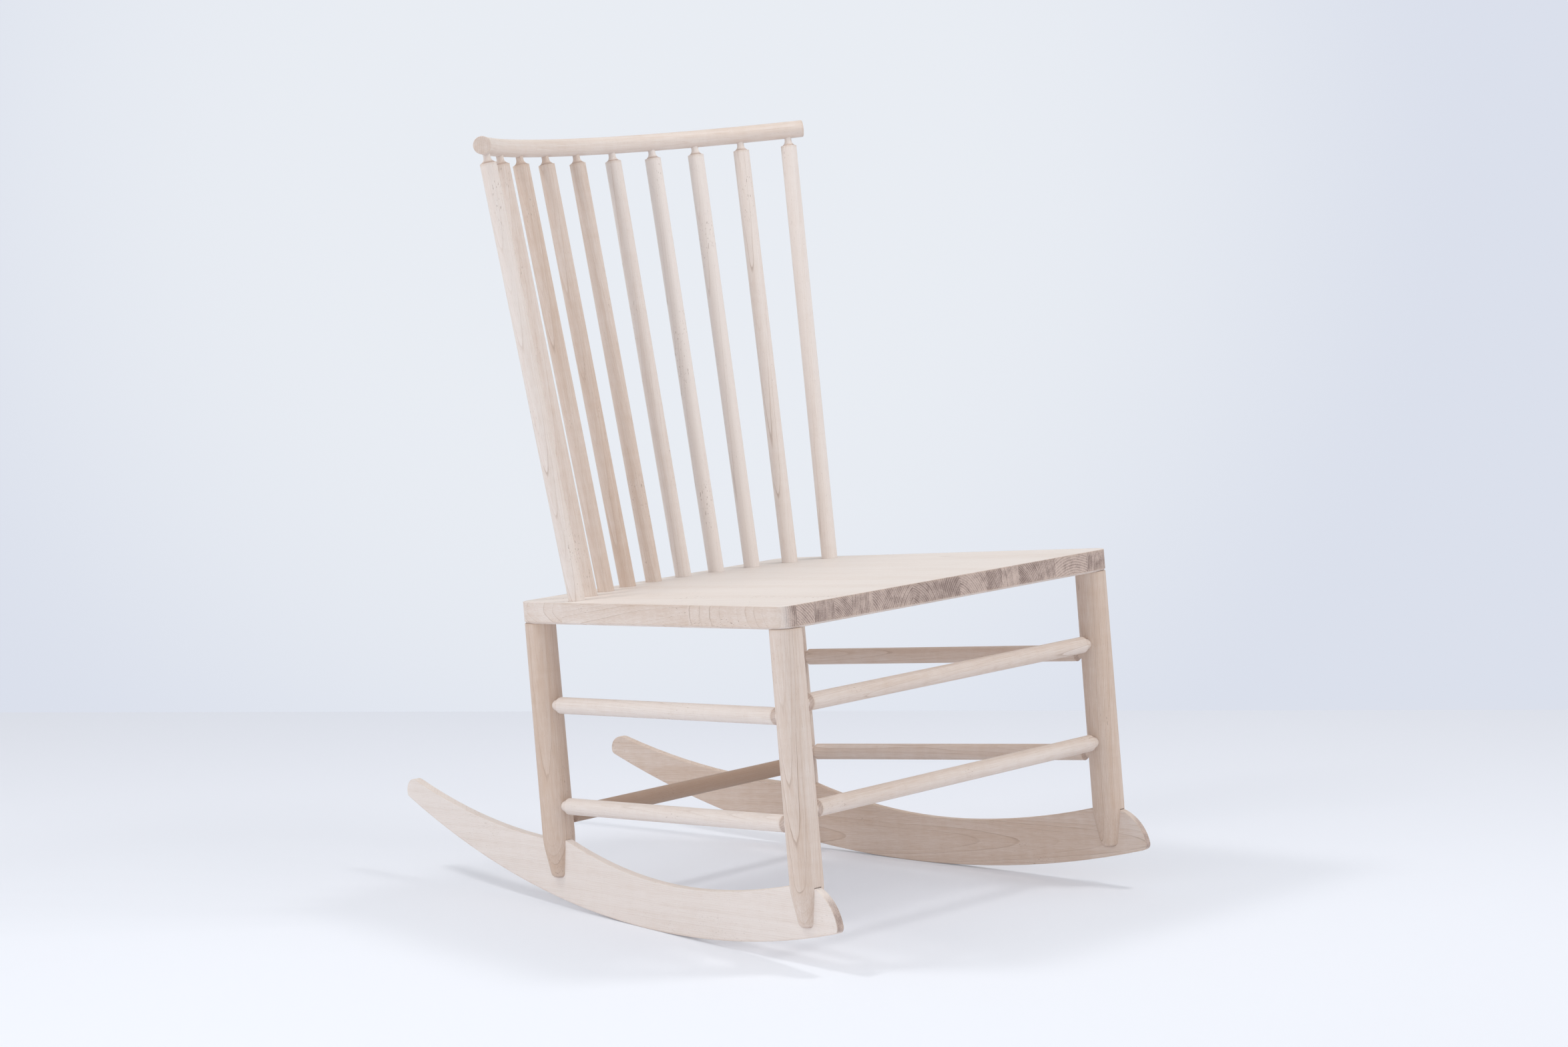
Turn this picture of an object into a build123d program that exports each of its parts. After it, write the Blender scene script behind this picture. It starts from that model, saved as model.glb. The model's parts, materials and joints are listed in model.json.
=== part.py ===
from build123d import *
from itertools import accumulate
from math import atan2, cos, degrees, radians, sin, sqrt, tan
import os

# A spindle-back rocking chair in pale hardwood: a slab seat glued up from staves, four turned legs
# slotted over two thin rocker planks, turned stretchers, and ten turned spindles that rise in an
# arc to a bent round crest rail.
#
# Millimetres and degrees. The chair is drawn in its own "deck" frame, which stands on the seat:
# X to the right seen from the front, Y from the front edge to the back, Z square to the seat top.
# The deck leans back by the rest tilt, the angle at which the chair balances on its rockers.
# "Left" is the -X side.

# ---- driving dimensions -------------------------------------------------------------------------

rest_tilt = 5.1             # lean of the whole chair where it balances on a level floor

# legs
leg_diameter = 40.0         # at the seat
leg_ankle_diameter = 41.8   # the shank swells slightly down to the foot
front_leg_x = 299.0         # half the spacing of the front legs' axes
rear_leg_x = 238.0          # half the spacing of the rear legs' axes
leg_spacing = 480.0         # front axis to rear axis, front to back
leg_top_bevel = 0.8
leg_taper_length = 46.0     # coned foot, up from the tip
leg_tip_diameter = 26.0
leg_taper_blend = 120.0     # radius that eases the cone into the round
leg_tip_round = 7.0
leg_tenon_diameter = 25.0
leg_tenon_length = 20.0

# seat
seat_thickness = 28.0
seat_under_chamfer = 2.5
seat_top_break = 0.5
stave_widths = [22.7, 32.0, 37.0, 33.0, 38.0, 39.5, 37.0, 48.5,
                42.5, 53.0, 31.0, 34.0, 37.0, 38.0, 67.0]   # from the left; the last stave takes the rest

# rockers
rocker_thickness = 11.0
rocker_radius = 1300.0      # of the rolling edge
rocker_center_s = 198.0     # lowest point of the rolling edge, back from the front leg's axis
rocker_low_drop = 419.0     # and how far it lies under the seat top
front_plank_height = 62.8   # rolling edge to the flat under the front leg
rear_plank_height = 77.2    # rolling edge to the flat under the rear leg
front_flat_tail = 6.0       # how far the front flat runs on behind the leg
rear_flat_tail = 2.5
scoop_low_s = 205.0         # lowest point of the top edge between the legs
scoop_low_height = 61.3     # plank height there
nose_overhang = 56.5        # plank ahead of the front leg's axis
nose_top_ahead = 18.0       # where the top edge turns down to the nose, ahead of the front leg's axis
nose_radius = 58.0          # of the nose, down to the rolling edge
nose_top_ease = 30.0        # radius that eases the top edge into the nose
nose_bottom_round = 8.0
tail_length = 322.5         # plank behind the rear leg's axis
tail_bend_back = 156.0      # a point on the tail's top edge, ahead of the tail's end
tail_bend_height = 50.5     # plank height there
tail_end_height = 30.9      # plank height at the tail's end, before rounding
tail_top_round = 17.0
tail_bottom_round = 7.0
rocker_edge_break = 0.7
leg_cheek_length = 49.5     # how far the slotted leg reaches down over the plank

# stretchers
stretcher_diameter = 21.5
stretcher_neck_diameter = 14.4
stretcher_neck_length = 4.5     # bare neck between the bevelled end and the leg
stretcher_bevel_length = 4.5
stretcher_tenon_length = 11.0
side_upper_drop = 135.5     # heights of the axes under the seat top
side_lower_drop = 266.5
front_upper_drop = 121.5
front_lower_drop = 250.5
rear_drop = 282.5

# spindles
spindle_count = 10
spindle_diameter = 21.5
spindle_arc_radius = 453.0      # arc of the spindle feet on the seat top
spindle_arc_middle = 495.0      # that arc's rearmost point, from the front edge
spindle_foot_pitch = 7.26       # degrees from foot to foot
spindle_head_pitch = 7.98       # degrees from head to head, round the crest rail's own arc
spindle_tenon_length = 20.0
spindle_neck_diameter = 9.4
spindle_neck_gap = 10.5         # shoulder to the underside of the rail
spindle_shoulder_flat = 0.4     # flat rim of the shoulder before the cove
spindle_cove_length = 7.5       # height of the cove over the shoulder
spindle_head_tenon_length = 15.0
spindle_mouth_ease = 0.8        # flare of the holes towards the seat top
spindle_mouth_depth = 2.5       # the flare's half length, below and above the seat top

# crest rail
rail_diameter = 23.0
rail_arc_radius = 490.0
rail_arc_middle = 567.5         # rearmost point of its centre line, from the front edge
rail_mid_height = 580.0         # centre line over the seat top at the middle
rail_pitch = 2.6                # the rail's own plane, dipping towards the back
rail_half_angle = 38.4
rail_end_break = 0.6

# fits
hole_clearance = 0.1            # on the radius, round every tenon
hole_end_gap = 0.6              # beyond every tenon's end

# ---- the deck frame -----------------------------------------------------------------------------

leg_radius = leg_diameter / 2
front_leg_y = leg_radius                    # legs stand flush with the rounded seat corners
rear_leg_y = front_leg_y + leg_spacing
seat_depth = rear_leg_y + leg_radius
toe = degrees(atan2(front_leg_x - rear_leg_x, leg_spacing))     # rockers close in towards the back
wheelbase = sqrt((front_leg_x - rear_leg_x) ** 2 + leg_spacing ** 2)

LEFT, RIGHT = -1, 1
FRONT, REAR = "front", "rear"


def deck_at(origin):
    """The deck frame with its origin, the middle of the seat's front top edge, at a world point."""
    return Plane(origin=origin, x_dir=(1, 0, 0), z_dir=(0, sin(radians(rest_tilt)), cos(radians(rest_tilt))))


def rocker_plane(deck, side):
    """Middle plane of a rocker: local X runs back along the plank from the front leg, Y is up."""
    foot = deck.from_local_coords(Vector(side * front_leg_x, front_leg_y, 0))
    back = Vector(-side * sin(radians(toe)), cos(radians(toe)), 0)
    run = deck.from_local_coords(back) - deck.origin
    return Plane(origin=foot, x_dir=run, z_dir=run.cross(deck.z_dir))


def rolling_edge(s):
    """Height of the rolling edge in the rocker plane, at s behind the front leg's axis."""
    return rocker_radius - rocker_low_drop - sqrt(rocker_radius ** 2 - (s - rocker_center_s) ** 2)


front_shoulder_drop = -rolling_edge(0) - front_plank_height     # seat top to the flat under the front leg
rear_shoulder_drop = -rolling_edge(wheelbase) - rear_plank_height


def rocker(deck, side):
    """One rocker plank: a rolling arc below, two leg flats with a scoop between, a long tail."""
    nose = -nose_overhang
    tail = wheelbase + tail_length
    bend = tail - tail_bend_back
    nose_top = (-nose_top_ahead, -front_shoulder_drop)
    nose_bottom = (nose, rolling_edge(nose))
    tail_bottom = (tail, rolling_edge(tail))
    tail_top = (tail, rolling_edge(tail) + tail_end_height)
    scoop_start = (leg_radius + front_flat_tail, -front_shoulder_drop)
    scoop_low = (scoop_low_s, rolling_edge(scoop_low_s) + scoop_low_height)
    scoop_end = (wheelbase - leg_radius, -rear_shoulder_drop)
    tail_start = (wheelbase + leg_radius + rear_flat_tail, -rear_shoulder_drop)
    with BuildPart() as plank:
        with BuildSketch(rocker_plane(deck, side)):
            with BuildLine():
                Line(nose_top, scoop_start)
                TangentArc(scoop_low, scoop_start, tangent=(-1, 0))
                TangentArc(scoop_low, scoop_end, tangent=(1, 0))
                Line(scoop_end, tail_start)
                ThreePointArc(tail_start, (bend, rolling_edge(bend) + tail_bend_height), tail_top)
                Line(tail_top, tail_bottom)
                ThreePointArc(tail_bottom, (rocker_center_s, rolling_edge(rocker_center_s)), nose_bottom)
                RadiusArc(nose_bottom, nose_top, nose_radius)
            make_face()
            for corner, rounding in ((nose_top, nose_top_ease), (nose_bottom, nose_bottom_round),
                                     (tail_top, tail_top_round), (tail_bottom, tail_bottom_round)):
                fillet(vertices().sort_by_distance(corner)[0], radius=rounding)
        extrude(amount=rocker_thickness / 2, both=True)
        rims = faces().sort_by(Axis(deck.origin, rocker_plane(deck, side).z_dir))
        chamfer(rims[0].edges() + rims[-1].edges(), length=rocker_edge_break)
    return plank


# The rocker settles where the chair stands: its lowest point on the floor, and the origin of the
# world halfway along it. The rockers are the lowest and the longest pieces.
standing = rocker(deck_at((0, 0, 0)), LEFT).part.bounding_box()
deck = deck_at((0, -(standing.min.Y + standing.max.Y) / 2, -standing.min.Z))


def finish(piece, label):
    """Name a finished piece and write its file."""
    piece.part.label = label
    export_step(piece.part, f"parts/{label}.step")


def deck_point(x, y, z):
    return deck.from_local_coords(Vector(x, y, z))


def leg_point(side, end, drop):
    """A point on a leg's axis, a given drop under the seat top."""
    x, y = (front_leg_x, front_leg_y) if end == FRONT else (rear_leg_x, rear_leg_y)
    return deck_point(side * x, y, -drop)


def turning_plane(foot, head):
    """Plane of a turned piece's half outline: local X is the radius, Y runs from foot to head."""
    axis = (head - foot).normalized()
    radius = axis.cross(deck.y_dir if abs(axis.dot(deck.y_dir)) < 0.9 else deck.x_dir).normalized()
    return Plane(origin=foot, x_dir=radius, z_dir=radius.cross(axis))


def spindle_angle(index, pitch):
    """Angle of a spindle round its arc, from the middle of the back."""
    return radians(pitch * (index - (spindle_count - 1) / 2))


def spindle_foot(index):
    """Where a spindle's axis meets the seat top."""
    turn = spindle_angle(index, spindle_foot_pitch)
    center = spindle_arc_middle - spindle_arc_radius
    return deck_point(spindle_arc_radius * sin(turn), center + spindle_arc_radius * cos(turn), 0)


# Plane of the crest rail's arc, centred on the arc: local X to the right, Y back along the dip.
dip = radians(rail_pitch)
rail_plane = Plane(
    origin=deck_point(0, rail_arc_middle - rail_arc_radius * cos(dip), rail_mid_height + rail_arc_radius * sin(dip)),
    x_dir=deck.x_dir,
    z_dir=deck.from_local_coords(Vector(0, sin(dip), cos(dip))) - deck.origin)


def spindle_head(index):
    """Where a spindle's axis meets the centre line of the crest rail."""
    turn = spindle_angle(index, spindle_head_pitch)
    return rail_plane.from_local_coords(Vector(rail_arc_radius * sin(turn), rail_arc_radius * cos(turn), 0))


def tenon_hole(start, into, diameter, depth):
    """Blind round hole cut from the current part, from a point along a direction."""
    with Locations(Plane(origin=start, z_dir=into)):
        Cylinder(diameter / 2 + hole_clearance, depth + hole_end_gap,
                 align=(Align.CENTER, Align.CENTER, Align.MIN), mode=Mode.SUBTRACT)


# ---- seat ---------------------------------------------------------------------------------------

def seat_slab():
    """The whole seat before it is parted into staves: rounded corners, leg and spindle holes."""
    under = deck.offset(-seat_thickness)
    with BuildPart() as slab:
        with BuildSketch(under):
            with BuildLine():
                Polyline((-front_leg_x, front_leg_y), (front_leg_x, front_leg_y),
                         (rear_leg_x, rear_leg_y), (-rear_leg_x, rear_leg_y), close=True)
            make_face()
            offset(amount=leg_radius, kind=Kind.ARC)
        extrude(amount=seat_thickness)
        chamfer(faces().sort_by(Axis(deck.origin, deck.z_dir))[0].edges(), length=seat_under_chamfer)
        chamfer(faces().sort_by(Axis(deck.origin, deck.z_dir))[-1].edges(), length=seat_top_break)
        for side in (LEFT, RIGHT):
            for end in (FRONT, REAR):
                tenon_hole(leg_point(side, end, seat_thickness), deck.z_dir, leg_tenon_diameter, leg_tenon_length)
        for index in range(spindle_count):
            foot, head = spindle_foot(index), spindle_head(index)
            rise = (head - foot).normalized()
            tenon_hole(foot + rise * spindle_diameter, -rise, spindle_diameter,
                       spindle_diameter + spindle_tenon_length)
            with Locations(Plane(origin=foot, z_dir=rise)):
                hole_radius = spindle_diameter / 2 + hole_clearance
                Cone(hole_radius, hole_radius + spindle_mouth_ease, 2 * spindle_mouth_depth, mode=Mode.SUBTRACT)
    return slab


def side_cut(x):
    """Front-to-back plane square to the seat, facing right."""
    return Plane(origin=deck_point(x, 0, 0), z_dir=deck.x_dir)


def stave(slab, left, right):
    """The part of the slab between two side cuts; an outer stave keeps the slab's own edge."""
    with BuildPart() as board:
        add(slab.part)
        if left is not None:
            split(bisect_by=side_cut(left), keep=Keep.TOP)
        if right is not None:
            split(bisect_by=side_cut(right), keep=Keep.BOTTOM)
    return board


def seat():
    """Sixteen staves edge to edge, grain from front to back, cut to the seat's slanting sides."""
    slab = seat_slab()
    half_width = front_leg_x + leg_radius / cos(radians(toe)) + leg_radius * tan(radians(toe))
    joints = [width - half_width for width in accumulate(stave_widths)]
    for index, (left, right) in enumerate(zip([None] + joints, joints + [None])):
        finish(stave(slab, left, right), f"seat_stave_{index + 1:02d}")


# ---- legs ---------------------------------------------------------------------------------------

def leg(side, end):
    """A turned leg: tenon into the seat, slightly swelling shank, coned foot slotted over the rocker."""
    shoulder_drop = front_shoulder_drop if end == FRONT else rear_shoulder_drop
    tip = leg_point(side, end, shoulder_drop + leg_cheek_length)
    top = leg_point(side, end, seat_thickness)
    length = (top - tip).length
    tip_radius = leg_tip_diameter / 2
    ankle_radius = leg_ankle_diameter / 2
    tenon_radius = leg_tenon_diameter / 2
    with BuildPart() as turned:
        with BuildSketch(turning_plane(tip, top)):
            with BuildLine():
                Polyline((0, 0), (tip_radius, 0), (ankle_radius, leg_taper_length),
                         (leg_radius, length - leg_top_bevel), (leg_radius - leg_top_bevel, length),
                         (tenon_radius, length), (tenon_radius, length + leg_tenon_length),
                         (0, length + leg_tenon_length), close=True)
            make_face()
            fillet(vertices().sort_by_distance((ankle_radius, leg_taper_length))[0], radius=leg_taper_blend)
            fillet(vertices().sort_by_distance((tip_radius, 0))[0], radius=leg_tip_round)
        revolve(axis=Axis(tip, top - tip))
        slot = rocker_plane(deck, side)
        with BuildSketch(slot):
            with Locations(slot.to_local_coords(leg_point(side, end, shoulder_drop))):
                Rectangle(leg_diameter * 2, leg_cheek_length * 2, align=(Align.CENTER, Align.MAX))
        extrude(amount=rocker_thickness / 2, both=True, mode=Mode.SUBTRACT)
        for start, into in stretcher_sockets(side, end):
            tenon_hole(start, into, stretcher_neck_diameter, leg_radius + stretcher_tenon_length)
    return turned


# ---- stretchers ---------------------------------------------------------------------------------

def stretcher_ends():
    """Name and two axis points of every stretcher."""
    ends = {}
    for name, drop in (("upper", side_upper_drop), ("lower", side_lower_drop)):
        for side, hand in ((LEFT, "left"), (RIGHT, "right")):
            ends[f"stretcher_{hand}_{name}"] = ((side, FRONT, drop), (side, REAR, drop))
    for name, drop in (("upper", front_upper_drop), ("lower", front_lower_drop)):
        ends[f"stretcher_front_{name}"] = ((LEFT, FRONT, drop), (RIGHT, FRONT, drop))
    ends["stretcher_rear"] = ((LEFT, REAR, rear_drop), (RIGHT, REAR, rear_drop))
    return ends


def stretcher_sockets(side, end):
    """Start and direction of each stretcher hole in one leg, drilled from outside towards the axis."""
    sockets = []
    for near, far in stretcher_ends().values():
        for here, there in ((near, far), (far, near)):
            if here[:2] == (side, end):
                inward = (leg_point(*here) - leg_point(*there)).normalized()
                sockets.append((leg_point(*here) - inward * leg_diameter, inward))
    return sockets


def stretcher(near, far):
    """A turned bar with bevelled ends, bare necks and tenons that go into the legs."""
    foot, head = leg_point(*near), leg_point(*far)
    span = (head - foot).length
    radius = stretcher_diameter / 2
    neck_radius = stretcher_neck_diameter / 2
    tenon_end = leg_radius - stretcher_tenon_length
    neck_end = leg_radius + stretcher_neck_length
    body_end = neck_end + stretcher_bevel_length
    with BuildPart() as turned:
        with BuildSketch(turning_plane(foot, head)):
            with BuildLine():
                Polyline((0, tenon_end), (neck_radius, tenon_end), (neck_radius, neck_end),
                         (radius, body_end), (radius, span - body_end),
                         (neck_radius, span - neck_end), (neck_radius, span - tenon_end),
                         (0, span - tenon_end), close=True)
            make_face()
        revolve(axis=Axis(foot, head - foot))
    return turned


# ---- spindles -----------------------------------------------------------------------------------

def spindle(index):
    """A straight round spindle with a coved shoulder and a thin neck up into the crest rail."""
    foot, head = spindle_foot(index), spindle_head(index)
    reach = (head - foot).length
    radius = spindle_diameter / 2
    neck_radius = spindle_neck_diameter / 2
    shoulder = reach - rail_diameter / 2 - spindle_neck_gap
    rim = radius - spindle_shoulder_flat
    cove_top = shoulder + spindle_cove_length
    tip = reach - rail_diameter / 2 + spindle_head_tenon_length
    with BuildPart() as turned:
        with BuildSketch(turning_plane(foot, head)):
            with BuildLine():
                Line((0, -spindle_tenon_length), (radius, -spindle_tenon_length))
                Line((radius, -spindle_tenon_length), (radius, shoulder))
                Line((radius, shoulder), (rim, shoulder))
                TangentArc((neck_radius, cove_top), (rim, shoulder), tangent=(0, -1))
                Line((neck_radius, cove_top), (neck_radius, tip))
                Line((neck_radius, tip), (0, tip))
                Line((0, tip), (0, -spindle_tenon_length))
            make_face()
        revolve(axis=Axis(foot, head - foot))
    return turned


# ---- crest rail ---------------------------------------------------------------------------------

def crest_rail():
    """A round bar bent to an arc, drilled from below for the spindle necks."""
    with BuildPart() as rail:
        with BuildLine(rail_plane):
            bend = CenterArc((0, 0), rail_arc_radius, 90 + rail_half_angle, -2 * rail_half_angle)
        with BuildSketch(Plane(origin=bend @ 0, x_dir=rail_plane.z_dir, z_dir=bend % 0)):
            Circle(rail_diameter / 2)
        sweep(path=bend)
        chamfer(edges().filter_by(GeomType.CIRCLE).filter_by(lambda edge: edge.radius < rail_diameter),
                length=rail_end_break)
        for index in range(spindle_count):
            foot, head = spindle_foot(index), spindle_head(index)
            rise = (head - foot).normalized()
            tenon_hole(head - rise * rail_diameter, rise, spindle_neck_diameter,
                       rail_diameter / 2 + spindle_head_tenon_length)
    return rail


# ---- build --------------------------------------------------------------------------------------

os.makedirs("parts", exist_ok=True)
seat()
for side, hand in ((LEFT, "left"), (RIGHT, "right")):
    finish(rocker(deck, side), f"rocker_{hand}")
    for end in (FRONT, REAR):
        finish(leg(side, end), f"leg_{end}_{hand}")
for name, (near, far) in stretcher_ends().items():
    finish(stretcher(near, far), name)
for index in range(spindle_count):
    finish(spindle(index), f"spindle_{index + 1:02d}")
finish(crest_rail(), "crest_rail")
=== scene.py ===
import json
import math
import random

import bpy
from mathutils import Matrix, Vector

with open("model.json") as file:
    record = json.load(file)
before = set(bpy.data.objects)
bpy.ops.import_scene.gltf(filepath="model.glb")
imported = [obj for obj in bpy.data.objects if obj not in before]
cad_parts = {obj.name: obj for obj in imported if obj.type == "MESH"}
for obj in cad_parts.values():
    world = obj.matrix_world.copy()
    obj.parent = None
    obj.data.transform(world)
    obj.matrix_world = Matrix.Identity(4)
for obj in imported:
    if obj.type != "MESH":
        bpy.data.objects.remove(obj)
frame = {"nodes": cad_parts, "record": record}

for name in ("Cube", "Light", "Camera"):
    if name in bpy.data.objects:
        bpy.data.objects.remove(bpy.data.objects[name])
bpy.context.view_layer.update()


# ---- where the chair stands ---------------------------------------------------------------------
# The seat's own frame: right, back along the seat, and square up from it. The whole chair leans
# back, and the record's mount gives a point on the seat's top and the way that it faces.

seat_top = frame["record"]["mounts"][0]
MOUNT_RIGHT, MOUNT_BACK = -0.013, 0.230         # that point, from the middle of the seat's front edge
RIGHT = Vector((1, 0, 0))
UP = Vector(seat_top["axis"])
BACK = UP.cross(RIGHT)
SEAT_FRONT = Vector(seat_top["pos_m"]) - RIGHT * MOUNT_RIGHT - BACK * MOUNT_BACK

SEAT_THICKNESS = 0.028
SEAT_DEPTH = 0.520
SEAT_HALF_FRONT = 0.3214        # half the seat's width, carried on to its front edge
SEAT_LOWER_RIM = 0.0265         # down to the middle of the chamfer below

FRONT_LEG_X, REAR_LEG_X = 0.299, 0.238
FRONT_LEG_Y, REAR_LEG_Y = 0.020, 0.500
LEG_LENGTH = 0.3905             # from the seat's top to the tip
LEG_AXES = {
    "front_left": (-FRONT_LEG_X, FRONT_LEG_Y),
    "front_right": (FRONT_LEG_X, FRONT_LEG_Y),
    "rear_left": (-REAR_LEG_X, REAR_LEG_Y),
    "rear_right": (REAR_LEG_X, REAR_LEG_Y),
}
TOE = math.atan2(FRONT_LEG_X - REAR_LEG_X, REAR_LEG_Y - FRONT_LEG_Y)       # each rocker's turn inwards

PLANK_THICKNESS = 0.011
PLANK_DROP = 0.380              # a line along the rocker's middle, under the seat's top
ROLLING_RADIUS = 1.300
ROLLING_LOW_BACK = 0.198        # lowest point of the rolling edge, back from the front leg
ROLLING_LOW_DROP = 0.419        # and how far it lies under the seat's top

FEET_RADIUS, FEET_BACK = 0.453, 0.495           # arc of the spindles' feet, and its rearmost point
FOOT_PITCH, HEAD_PITCH = math.radians(7.26), math.radians(7.98)
RAIL_RADIUS, RAIL_BACK, RAIL_HEIGHT = 0.490, 0.5675, 0.580
RAIL_DIP = math.radians(2.6)
RAIL_HALF_ANGLE = math.radians(38.4)
SHOULDER_DROP = 0.022           # from the rail's centre line down to a spindle's shoulder


def on_seat(x, y, z):
    """A point in the seat's frame."""
    return SEAT_FRONT + RIGHT * x + BACK * y + UP * z


RAIL_REAR = BACK * math.cos(RAIL_DIP) - UP * math.sin(RAIL_DIP)
RAIL_CENTRE = on_seat(0, RAIL_BACK, RAIL_HEIGHT) - RAIL_REAR * RAIL_RADIUS


def on_rail(angle):
    """A point on the crest rail's centre line, at an angle round its bend."""
    return RAIL_CENTRE + (RAIL_REAR * math.cos(angle) + RIGHT * math.sin(angle)) * RAIL_RADIUS


# ---- camera -------------------------------------------------------------------------------------

lens = bpy.data.cameras.new("view")
lens.sensor_width = 36.0
lens.lens = 94.266
lens.clip_end = 60.0
camera = bpy.data.objects.new("view", lens)
camera.location = (-3.9206, -3.5909, 1.1582)
camera.rotation_euler = [math.radians(angle) for angle in (82.734, 0.958, -48.255)]
bpy.context.scene.collection.objects.link(camera)
bpy.context.scene.camera = camera


# ---- shader sums --------------------------------------------------------------------------------

class Value:
    """What a node gives out. A sum on a number adds the nodes that work it out."""

    def __init__(self, finish, socket):
        self.finish = finish
        self.socket = socket

    def work(self, operation, *terms):
        return self.finish.add("ShaderNodeMath", {"operation": operation}, dict(enumerate(terms)))

    def __add__(self, other):
        return self.work("ADD", self, other)

    def __sub__(self, other):
        return self.work("SUBTRACT", self, other)

    def __rsub__(self, other):
        return self.work("SUBTRACT", other, self)

    def __mul__(self, other):
        return self.work("MULTIPLY", self, other)

    def __truediv__(self, other):
        return self.work("DIVIDE", self, other)

    def __pow__(self, other):
        return self.work("POWER", self, other)

    def __abs__(self):
        return self.work("ABSOLUTE", self)

    __radd__ = __add__
    __rmul__ = __mul__

    def floor(self):
        return self.work("FLOOR", self)

    def fraction(self):
        return self.work("FRACT", self)

    def root(self):
        return self.work("SQRT", self)

    def least(self, other):
        """The smaller of the two."""
        return self.work("MINIMUM", self, other)

    def turn_from(self, other):
        """The angle whose tangent is this number over the other."""
        return self.work("ARCTAN2", self, other)

    def rise(self, low, high):
        """0 below low, 1 above high, and a smooth step between."""
        sockets = {"Value": self, "From Min": low, "From Max": high}
        return self.finish.add("ShaderNodeMapRange", {"interpolation_type": "SMOOTHSTEP"}, sockets)


class Finish:
    """The nodes of one material, or of the air round the chair."""

    def __init__(self, owner):
        owner.use_nodes = True
        self.owner = owner
        self.tree = owner.node_tree
        self.tree.nodes.clear()

    def add(self, kind, settings=None, sockets=None, out=0):
        """Add a node, with its settings first and then its sockets. Gives back one of its outputs, or
        a list of them where out holds several."""
        node = self.tree.nodes.new(kind)
        for key, value in (settings or {}).items():
            setattr(node, key, value)
        for key, value in (sockets or {}).items():
            if isinstance(value, Value):
                self.tree.links.new(value.socket, node.inputs[key])
            else:
                node.inputs[key].default_value = value
        if isinstance(out, tuple):
            return [Value(self, node.outputs[name]) for name in out]
        return Value(self, node.outputs[out]) if node.outputs else None

    def split(self, vector):
        """The three numbers of a vector."""
        return self.add("ShaderNodeSeparateXYZ", {}, {0: vector}, ("X", "Y", "Z"))

    def join(self, x, y, z):
        return self.add("ShaderNodeCombineXYZ", {}, {"X": x, "Y": y, "Z": z})

    def along(self, vector, way):
        """How far a vector reaches in a direction."""
        return self.add("ShaderNodeVectorMath", {"operation": "DOT_PRODUCT"}, {0: vector, 1: way}, "Value")

    def noise(self, place, stretch, detail, rough, seed):
        """Smooth noise around 0, with its own scale along each axis."""
        settings = {"operation": "MULTIPLY_ADD"}
        sockets = {0: place, 1: stretch, 2: (seed, seed * 1.7, seed * 0.6)}
        stretched = self.add("ShaderNodeVectorMath", settings, sockets)
        sockets = {"Vector": stretched, "Scale": 1.0, "Detail": detail, "Roughness": rough}
        return self.add("ShaderNodeTexNoise", {}, sockets) - 0.5

    def mix(self, share, first, second):
        """Mix two colours, each a plain colour or a node's output."""
        return self.add("ShaderNodeMix", {"data_type": "RGBA"}, {0: share, 6: first, 7: second}, 2)


# ---- maple --------------------------------------------------------------------------------------

PALE = (0.830, 0.755, 0.712, 1)
TAN = (0.585, 0.426, 0.324, 1)
RING = (0.330, 0.215, 0.155, 1)
FLECK = (0.240, 0.140, 0.100, 1)
END_PALE = (0.600, 0.470, 0.410, 1)
END_DARK = (0.220, 0.150, 0.128, 1)


def place_in_log(finish, pith, along, face):
    """Coordinates in the log: Z along the grain from the pith, X towards the face given."""
    across = along.cross(face).normalized()
    axes = Matrix((across.cross(along), across, along)).transposed()
    turn = axes.to_euler("XYZ")
    spot = finish.add("ShaderNodeTexCoord", {}, {}, "Object")
    settings = {"vector_type": "TEXTURE"}
    return finish.add("ShaderNodeMapping", settings, {"Vector": spot, "Location": pith, "Rotation": turn})


def end_share(finish, along, low=0.55):
    """How much the surface is cut across a direction: 0 along it, 1 square to it."""
    facing = finish.add("ShaderNodeTexCoord", {}, {}, "Normal")
    return abs(finish.along(facing, along)).rise(low, 0.98)


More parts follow.
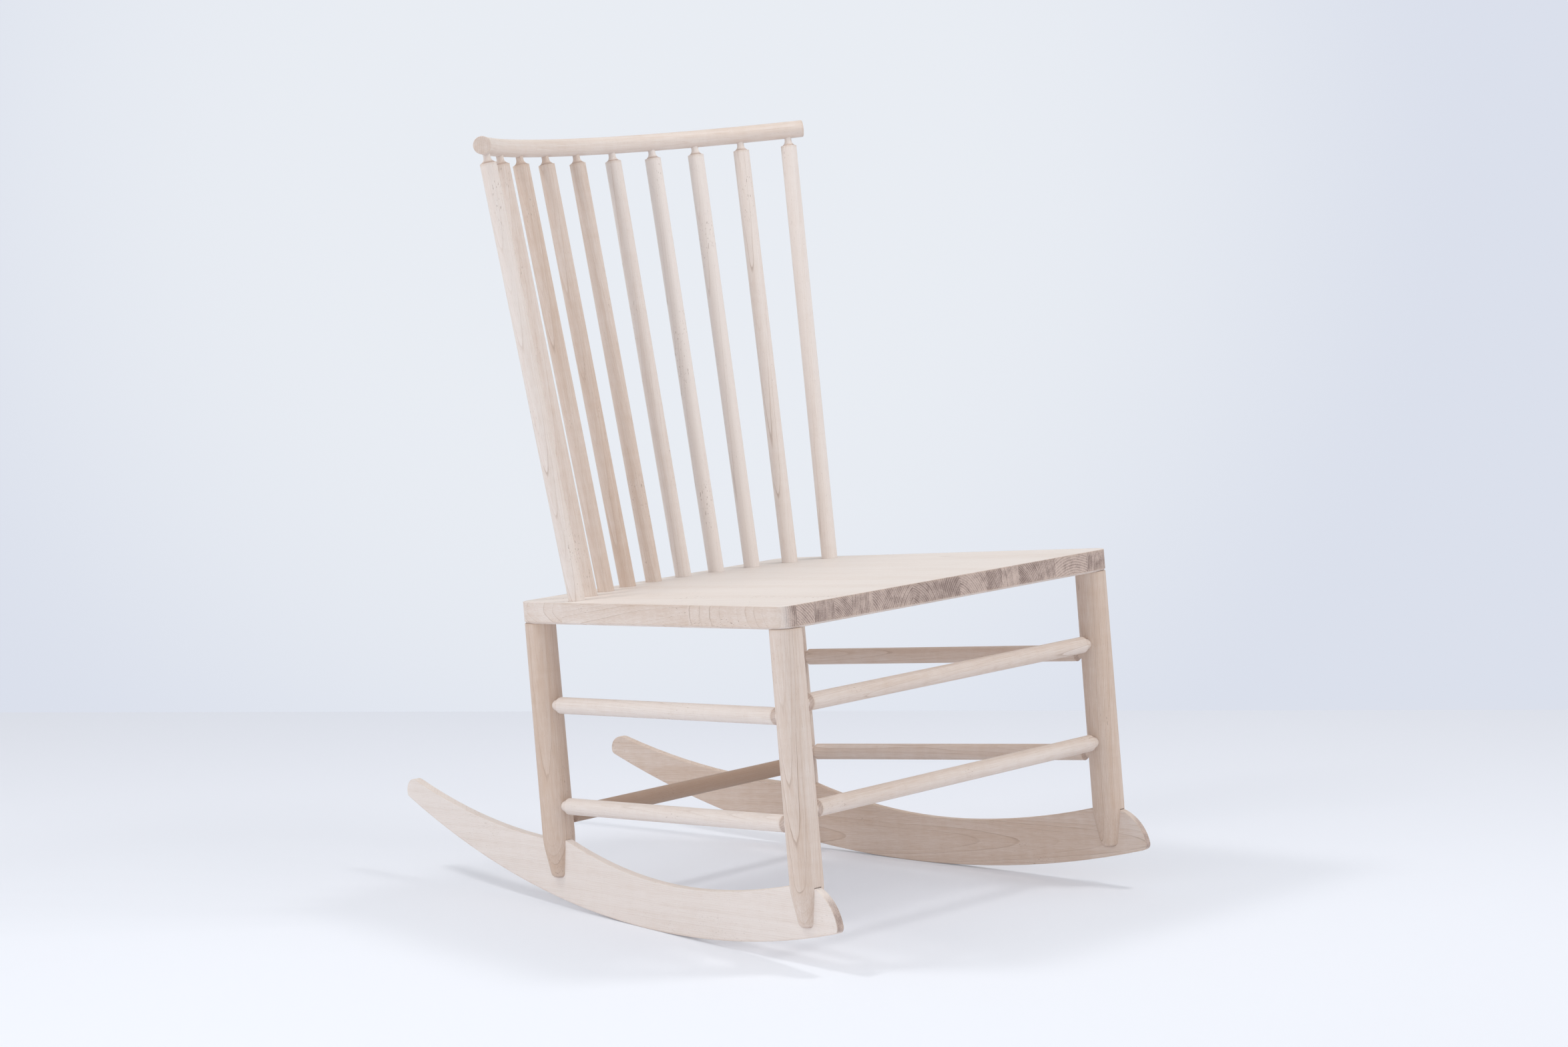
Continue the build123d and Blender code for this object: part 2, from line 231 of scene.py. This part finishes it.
def maple(finish, place, end, wear, seed, ring_gap=0.0024, tone=0.3, ring_strength=0.3, flecks=0.5,
          end_dark=1.0, end_tone=0.0, end_rings=0.7, heart=0.0, gloss=0.4, knot=None):
    """Soaped maple: growth rings round the pith, fibres, ray flecks, soft clouds and darker ends.

    end is how much the grain is cut across, and end_dark, end_tone and end_rings say how that end
    grain looks. tone runs from pale to tan, and heart mixes in a share of the dark ring
    colour: painted shade for a piece that lies in shade under the seat. wear is how
    near the surface lies to a handled edge: there the soap is rubbed thin, and the wood is a little
    darker and smoother. knot is how near it lies to the middle of a small knot."""
    x, y, _ = finish.split(place)
    wander = finish.noise(place, (13, 13, 2.6), 1.0, 0.5, seed)
    ripple = finish.noise(place, (60, 60, 16), 1.0, 0.5, seed + 3)
    rings = ((x * x + y * y).root() + wander * 0.0120 + ripple * 0.0011) / ring_gap
    year = rings.floor()
    season = rings.fraction()
    harvest = finish.add("ShaderNodeTexWhiteNoise", {"noise_dimensions": "1D"}, {"W": year + seed}, "Value")
    broken = finish.noise(place, (90, 90, 9), 1.0, 0.6, seed + 5).rise(-0.16, 0.14)
    late = season.rise(0.84, 0.968) * (1 - season.rise(0.968, 1.0)) * (harvest ** 2 * 0.88 + 0.12)
    late = late * (0.35 + broken * 0.65)

    clouds = finish.noise(place, (11, 11, 2.4), 2.0, 0.6, seed + 7)
    streaks = finish.noise(place, (170, 170, 3.2), 2.0, 0.6, seed + 11)
    fibres = finish.noise(place, (1300, 1300, 40), 1.0, 0.6, seed + 13)
    figure = finish.noise(place, (26, 26, 90), 1.0, 0.5, seed + 17)
    specks = finish.noise(place, (850, 850, 240), 0.0, 0.5, seed + 19)
    patches = finish.noise(place, (24, 24, 9), 1.0, 0.5, seed + 23)
    pores = finish.noise(place, (2100, 2100, 330), 0.0, 0.5, seed + 31)

    warmth = (clouds * 0.70 + streaks * 0.40 + fibres * 0.60 + figure * 0.20 + (harvest - 0.5) * 0.12
              + season * 0.10 - 0.05 + tone)
    side = finish.mix(warmth.rise(-0.25, 1.25), PALE, TAN)
    # painted shade: a share of the dark ring colour for a piece in shade under the seat
    if heart:
        side = finish.mix(heart, side, RING)
    side = finish.mix(late * ring_strength, side, RING)
    dots = pores.rise(0.20, 0.34)
    side = finish.mix(dots * 0.20, side, FLECK)
    fleck = specks.rise(0.23, 0.28) * patches.rise(0.07, 0.18)
    side = finish.mix(fleck * flecks, side, FLECK)
    if knot:
        marks = (pores * 0.6 + streaks * 0.8 + fibres * 0.4).rise(0.0, 0.30)
        side = finish.mix(knot * marks * 0.5, side, FLECK)

    band = season.rise(0.0, 0.55) * (1 - season.rise(0.80, 1.0)) * (0.45 + harvest * 0.55)
    rays = finish.noise(place, (700, 700, 5), 1.0, 0.6, seed + 29)
    blotch = finish.noise(place, (75, 75, 4), 1.0, 0.6, seed + 37)
    cut = finish.mix(band * end_rings + rays * 1.1 + blotch * 1.2 + end_tone, END_PALE, END_DARK)
    base = finish.mix(end * end_dark, side, cut)
    rubbed = (wear * (0.55 + streaks * 0.9 + clouds * 0.8)).rise(0.05, 0.75)
    base = finish.mix(rubbed * 0.30, base, TAN)

    rough = 0.52 + fibres * 0.14 + end * 0.16 - late * 0.06 - rubbed * 0.12
    grain = fibres * 0.6 + streaks * 0.25 - late * 0.35 - fleck * 0.5 - dots * 0.3
    bump = finish.add("ShaderNodeBump", {}, {"Strength": 0.3, "Distance": 0.0003, "Height": grain})
    sockets = {"Base Color": base, "Roughness": rough, "Normal": bump, "Specular IOR Level": gloss}
    shader = finish.add("ShaderNodeBsdfPrincipled", {}, sockets)
    finish.add("ShaderNodeOutputMaterial", {}, {"Surface": shader})


def new_finish(name):
    return Finish(bpy.data.materials.new(name))


def dress(node, finish):
    """Give a carried-over piece its finish."""
    piece = frame["nodes"][node]
    piece.data.materials.clear()
    piece.data.materials.append(finish.owner)


def measure(finish, origin, way):
    """Distance from a point along a direction."""
    spot = finish.add("ShaderNodeTexCoord", {}, {}, "Object")
    return finish.along(spot, way) - origin.dot(way)


def at_edge(distance, reach=0.005):
    """1 at an edge and 0 beyond reach of it."""
    return 1 - abs(distance).rise(0.0004, reach)


def leaned(along, face, lean):
    """The grain's own direction: along the piece, but leaned towards a face by some degrees."""
    return (along + face * math.tan(math.radians(lean))).normalized()


def compass(degrees):
    """A level direction: 0 is the chair's right, 90 its back."""
    return Vector((math.cos(math.radians(degrees)), math.sin(math.radians(degrees)), 0))


TO_VIEWER = 222.0       # the camera's side of the chair, as compass takes it
dice = random.Random(5)


# ---- turned pieces ------------------------------------------------------------------------------

def turned(node, foot, head, face, depth, lean, seed, rims, end_low=0.55, **look):
    """A straight piece with its grain from foot to head, its pith behind the face given, worn at the
    rims that lie at the given distances from the foot."""
    along = (head - foot).normalized()
    face = (face - along * face.dot(along)).normalized()
    finish = new_finish(node + "_maple")
    place = place_in_log(finish, foot - face * depth, leaned(along, face, lean), face)
    run = measure(finish, foot, along)
    wear = sum(at_edge(run - rim) for rim in rims)
    maple(finish, place, end_share(finish, along, end_low), wear, seed, **look)
    dress(node, finish)


def leg(corner, facing, depth, lean, seed, tone, ring_strength):
    """A leg with long arches on the face given, worn at its tip and under the seat."""
    foot, head = on_seat(*LEG_AXES[corner], -LEG_LENGTH), on_seat(*LEG_AXES[corner], 0)
    rims = (0.0, LEG_LENGTH - SEAT_THICKNESS)
    turned("leg_" + corner, foot, head, compass(facing), depth, lean, seed, rims,
           ring_gap=0.0022, tone=tone, ring_strength=ring_strength)


leg("front_left", TO_VIEWER - 28, 0.050, -1.5, 11.3, tone=0.55, ring_strength=0.85)
leg("rear_left", TO_VIEWER - 20, 0.060, -1.3, 23.9, tone=0.82, ring_strength=0.75)
leg("front_right", TO_VIEWER + 120, 0.045, 1.6, 37.1, tone=0.78, ring_strength=1.00)
leg("rear_right", TO_VIEWER + 60, 0.055, 1.4, 41.7, tone=0.60, ring_strength=0.80)

STRETCHER_RIM = 0.029           # from a leg's axis to the stretcher's bevelled end


def stretcher(name, near, far, drop, tone, heart=0.0):
    """A stretcher between two legs, some way under the seat's top, worn at its bevelled ends."""
    foot, head = on_seat(*LEG_AXES[near], -drop), on_seat(*LEG_AXES[far], -drop)
    face = Vector((dice.uniform(-1, 0.3), dice.uniform(-1, 0.3), dice.uniform(-0.4, 1)))
    rims = (STRETCHER_RIM, (head - foot).length - STRETCHER_RIM)
    turned("stretcher_" + name, foot, head, face, dice.uniform(0.03, 0.09), dice.uniform(-1.5, 1.5),
           dice.uniform(0, 90), rims, end_low=0.30, ring_strength=0.50, tone=tone, heart=heart)


stretcher("left_upper", "front_left", "rear_left", 0.1355, tone=0.14)
stretcher("left_lower", "front_left", "rear_left", 0.2665, tone=0.12)
# the right stretchers' darker tones are partly painted shade under the seat
stretcher("right_upper", "front_right", "rear_right", 0.1355, tone=0.66)
stretcher("right_lower", "front_right", "rear_right", 0.2665, tone=0.60)
stretcher("front_upper", "front_left", "front_right", 0.1215, tone=0.42)
stretcher("front_lower", "front_left", "front_right", 0.2505, tone=0.46)
# painted shade: the rear stretcher, in shade under the seat, is painted darker with a deep tone and the dark
# ring colour
stretcher("rear", "rear_left", "rear_right", 0.2825, tone=1.05, heart=0.5)

SPINDLE_TONES = [0.12, 0.40, 0.58, 0.58, 0.48, 0.05, -0.25, -0.20, 0.05, 0.00]        # from the left


def spindle(index, tone):
    """A spindle between the seat and the crest rail, worn at its shoulder."""
    step = index - (len(SPINDLE_TONES) - 1) / 2
    low = FOOT_PITCH * step
    foot = on_seat(FEET_RADIUS * math.sin(low), FEET_BACK + FEET_RADIUS * (math.cos(low) - 1), 0)
    head = on_rail(HEAD_PITCH * step)
    face = compass(TO_VIEWER + dice.uniform(-70, 60))
    rims = ((head - foot).length - SHOULDER_DROP,)
    turned(f"spindle_{index + 1:02d}", foot, head, face, dice.uniform(0.03, 0.08), dice.uniform(-2.2, -0.8),
           dice.uniform(0, 90), rims, ring_strength=0.50, tone=tone)


for index, tone in enumerate(SPINDLE_TONES):
    spindle(index, tone)


# ---- rockers ------------------------------------------------------------------------------------

NOSE_RUN = (-0.26, -0.10)       # where the nose's tone gives way to the body's, from the rocker's lowest point
KNOT_REACH = (0.002, 0.009)     # its dark middle and its faint rim
KNOT_STRETCH = 1.6              # longer with the grain than across it


def plank(node, side, face, depth, lean, seed, tone, nose_tone, knot=None, **look):
    """A sawn rocker plank, its grain level along it, rubbed where it rolls and along its long edges.

    side is -1 on the left and 1 on the right. knot is measured from the rolling arc's centre."""
    along = (BACK * math.cos(TOE) - RIGHT * side * math.sin(TOE)).normalized()
    across = along.cross(UP).normalized()
    start = on_seat(side * FRONT_LEG_X, FRONT_LEG_Y, -PLANK_DROP)
    over_leg = on_seat(side * FRONT_LEG_X, FRONT_LEG_Y, ROLLING_RADIUS - ROLLING_LOW_DROP)
    rolling_centre = over_leg + along * ROLLING_LOW_BACK
    face = (face - along * face.dot(along)).normalized()
    finish = new_finish(node + "_maple")
    place = place_in_log(finish, start - face * depth, leaned(along, face, lean), face)
    run, drop = measure(finish, rolling_centre, along), measure(finish, rolling_centre, UP)
    # the nose and the body each take a tone; the right rocker's body, under the seat, is darker than its
    # nose: painted shade
    tone = nose_tone + (tone - nose_tone) * run.rise(*NOSE_RUN)
    rolling = at_edge((run * run + drop * drop).root() - ROLLING_RADIUS, 0.004)
    arris = at_edge(abs(measure(finish, start, across)) - PLANK_THICKNESS / 2, 0.0015)
    on_edge = 1 - end_share(finish, across, 0.80)
    near_knot = None
    if knot:
        ahead, above = run - knot[0], (drop - knot[1]) * KNOT_STRETCH
        near_knot = 1 - (ahead * ahead + above * above).root().rise(*KNOT_REACH)
    maple(finish, place, end_share(finish, along, 0.45), rolling + arris * on_edge, seed,
          tone=tone, knot=near_knot, end_rings=0.2, end_tone=0.25, **look)
    dress(node, finish)


# the left one is quarter sawn, the right one flat sawn
plank("rocker_left", -1, UP * 1.2 - RIGHT, 0.16, 1.2, 8.2, tone=0.00, nose_tone=0.03,
      knot=(-0.034, -1.271), ring_gap=0.0020, ring_strength=0.30, flecks=0.20)
# the right rocker's body is darker than its nose, painted shade under the seat
plank("rocker_right", 1, UP * 0.15 - RIGHT, 0.045, 2.2, 57.5, tone=0.70, nose_tone=0.36,
      ring_gap=0.0026, ring_strength=0.55, flecks=0.6)


# ---- seat ---------------------------------------------------------------------------------------

# staves from the left, with their grain front to back: left edge, the way to the pith seen from the
# front (0 right, 90 up) and how far off it lies
STAVES = [
    (-0.322, 180, 0.090), (-0.299, 224, 0.060), (-0.267, 178, 0.080), (-0.230, 230, 0.050),
    (-0.197, 2, 0.100), (-0.159, 212, 0.070), (-0.1195, 325, 0.060), (-0.0825, 224, 0.060),
    (-0.034, 332, 0.070), (0.0085, 222, 0.060), (0.0615, 204, 0.090), (0.0925, 196, 0.120),
    (0.1265, 218, 0.055), (0.1635, 188, 0.090), (0.2015, 272, 0.070), (0.2685, 180, 0.060),
]
SEAT_RIGHT = 0.320
LIVELY_STAVES = 4               # the first ones, with stronger lines and flecks


def stave(node, left, right, turn, depth, lean, seed, tone, **look):
    """One stave of the seat, rubbed along the slab's own upper and lower edges."""
    start = on_seat((left + right) / 2, 0, -SEAT_THICKNESS / 2)
    pith = RIGHT * math.cos(turn) + UP * math.sin(turn)
    finish = new_finish(node + "_maple")
    place = place_in_log(finish, start + pith * depth, leaned(BACK, -pith, lean), -pith)
    x, y, z = [measure(finish, SEAT_FRONT, way) for way in (RIGHT, BACK, UP)]
    from_side = (SEAT_HALF_FRONT - abs(x) - y * math.tan(TOE)) * math.cos(TOE)
    inward = from_side.least(y.least(SEAT_DEPTH - y))
    level = abs(z).least(abs(z + SEAT_LOWER_RIM))
    wear = at_edge((inward * inward + level * level).root())
    tone = tone + end_share(finish, RIGHT) * 0.55       # painted shade: the slab's long sides are coloured darker than its top
    maple(finish, place, end_share(finish, BACK), wear, seed, tone=tone, gloss=0.8, **look)
    dress(node, finish)


rights = [left for left, _, _ in STAVES[1:]] + [SEAT_RIGHT]
for index, ((left, turn, depth), right) in enumerate(zip(STAVES, rights)):
    lively = index < LIVELY_STAVES
    # the staves' tones run pale, partly painted sheen on the seat's top
    stave(f"seat_stave_{index + 1:02d}", left, right, math.radians(turn), depth, dice.uniform(-0.6, 0.6),
          dice.uniform(0, 90), ring_gap=dice.uniform(0.0024, 0.0034), ring_strength=0.55 if lively else 0.25,
          tone=dice.uniform(-0.20, 0.00), end_tone=dice.uniform(-0.15, 0.35), flecks=1.0 if lively else 0.3)


# ---- crest rail ---------------------------------------------------------------------------------

def bent_rail():
    """The crest rail's grain follows its bend, round the centre of the arc."""
    finish = new_finish("crest_rail_maple")
    square = RIGHT.cross(RAIL_REAR)
    x, y, z = finish.split(place_in_log(finish, RAIL_CENTRE, square, RIGHT))
    out = (x * x + y * y).root()
    sweep = x.turn_from(y) * RAIL_RADIUS
    place = finish.join(out - RAIL_RADIUS + 0.050, z + 0.018 + sweep * 0.02, sweep)
    facing = finish.add("ShaderNodeTexCoord", {}, {}, "Normal")
    axes = Matrix((RIGHT, square.cross(RIGHT), square)).transposed()
    settings = {"vector_type": "TEXTURE"}
    facing = finish.add("ShaderNodeMapping", settings, {"Vector": facing, "Rotation": axes.to_euler("XYZ")})
    across_x, across_y, _ = finish.split(facing)
    end = abs(across_x * (y / out) - across_y * (x / out)).rise(0.30, 0.95)
    wear = at_edge(abs(sweep) - RAIL_RADIUS * RAIL_HALF_ANGLE)
    maple(finish, place, end, wear, 71.0, ring_strength=0.2, tone=0.3, end_dark=0.25)
    dress("crest_rail", finish)


bent_rail()


# ---- floor and light ----------------------------------------------------------------------------

WALL_LEFT, WALL_RIGHT = Vector((0.240, 1.904, 0)), Vector((1.790, -0.165, 0))      # where the floor meets it
WALL_RUN = (WALL_RIGHT - WALL_LEFT).normalized()
WALL_OUT = Vector((WALL_RUN.y, -WALL_RUN.x, 0))
WALL_BRIGHTEST = Vector((0.7244, 0.6961, -0.0318)).normalized()     # the way to its brightest place
WALL_DIM, WALL_BRIGHT = (0.707, 0.745, 0.840, 1), (0.815, 0.847, 0.900, 1)
FLOOR_REACH = 12.0
# the floor's far and near colours: the darker far colour is a painted falloff of light
FLOOR_FAR, FLOOR_NEAR = (0.815, 0.838, 0.910, 1), (0.895, 0.922, 0.988, 1)
FLOOR_GLOW = 0.15               # how far the lit floor drowns the shadows on it
CHAIR = Vector((0, 0, 0.3))     # what the lamps are aimed at
LAMP_WHITE = (1.0, 0.99, 0.975)


def pale_floor():
    """A level floor up to the wall, painted a little darker towards it and towards the sides, a painted
    falloff of light; it keeps the chair's shadow.
    """
    bpy.ops.object.select_all(action="DESELECT")
    bpy.ops.mesh.primitive_plane_add(size=1, location=(0, 0, 0))
    floor = bpy.context.object
    floor.name = "floor"
    steps = [(-1, 1), (1, 1), (-1, 0), (1, 0)]      # of the corners, along the wall and out from it
    for point, (run, out) in zip(floor.data.vertices, steps):
        point.co = WALL_LEFT + (WALL_RUN * run + WALL_OUT * out) * FLOOR_REACH
    finish = new_finish("floor_paper")
    from_wall = measure(finish, WALL_LEFT, WALL_OUT)
    sideways = measure(finish, Vector(), WALL_RUN)
    # painted light: paler in front and in the middle, darker towards the wall and the sides
    near = from_wall.rise(-0.3, 1.9) * (1 - abs(sideways).rise(0.2, 1.6) * 0.55)
    tone = finish.mix(near, FLOOR_FAR, FLOOR_NEAR)
    paper = finish.add("ShaderNodeBsdfDiffuse", {}, {"Color": tone})
    glow = finish.add("ShaderNodeEmission", {}, {"Color": tone, "Strength": 1.0})
    seen = finish.add("ShaderNodeLightPath", {}, {}, "Is Camera Ray")
    shader = finish.add("ShaderNodeMixShader", {}, {0: seen * FLOOR_GLOW, 1: paper, 2: glow})
    finish.add("ShaderNodeOutputMaterial", {}, {"Surface": shader})
    floor.data.materials.append(finish.owner)


def softbox(name, place, size, watts):
    lamp = bpy.data.lights.new(name, "AREA")
    lamp.shape = "SQUARE"
    lamp.size = size
    lamp.energy = watts
    lamp.color = LAMP_WHITE
    holder = bpy.data.objects.new(name, lamp)
    holder.location = place
    holder.rotation_euler = (CHAIR - Vector(place)).to_track_quat("-Z", "Y").to_euler()
    bpy.context.scene.collection.objects.link(holder)


def studio_air():
    """Even pale light from all round, seen by the camera as a wall that is brightest behind the chair."""
    world = bpy.data.worlds.new("studio")
    bpy.context.scene.world = world
    air = Finish(world)
    way = air.add("ShaderNodeTexCoord", {}, {}, "Generated")
    wall = air.mix(air.along(way, WALL_BRIGHTEST).rise(0.979, 0.9985), WALL_DIM, WALL_BRIGHT)
    seen = air.add("ShaderNodeBackground", {}, {"Color": wall, "Strength": 1.0})
    light = air.add("ShaderNodeBackground", {}, {"Color": (0.97, 0.985, 1.0, 1), "Strength": 0.62})
    camera_ray, glass_ray = air.add("ShaderNodeLightPath", {}, {}, ("Is Camera Ray", "Is Transmission Ray"))
    shader = air.add("ShaderNodeMixShader", {}, {0: camera_ray + glass_ray, 1: light, 2: seen})
    air.add("ShaderNodeOutputWorld", {}, {"Surface": shader})


pale_floor()
softbox("softbox_left", (-1.40, 1.05, 3.1), 0.6, 22)
softbox("softbox_right", (1.10, -1.40, 3.1), 0.6, 22)
softbox("fill_left", (-3.60, 0.30, 1.5), 2.0, 24)
softbox("fill_front", (0.60, -3.80, 1.7), 2.0, 22)
studio_air()
bpy.context.scene.view_settings.view_transform = "Standard"
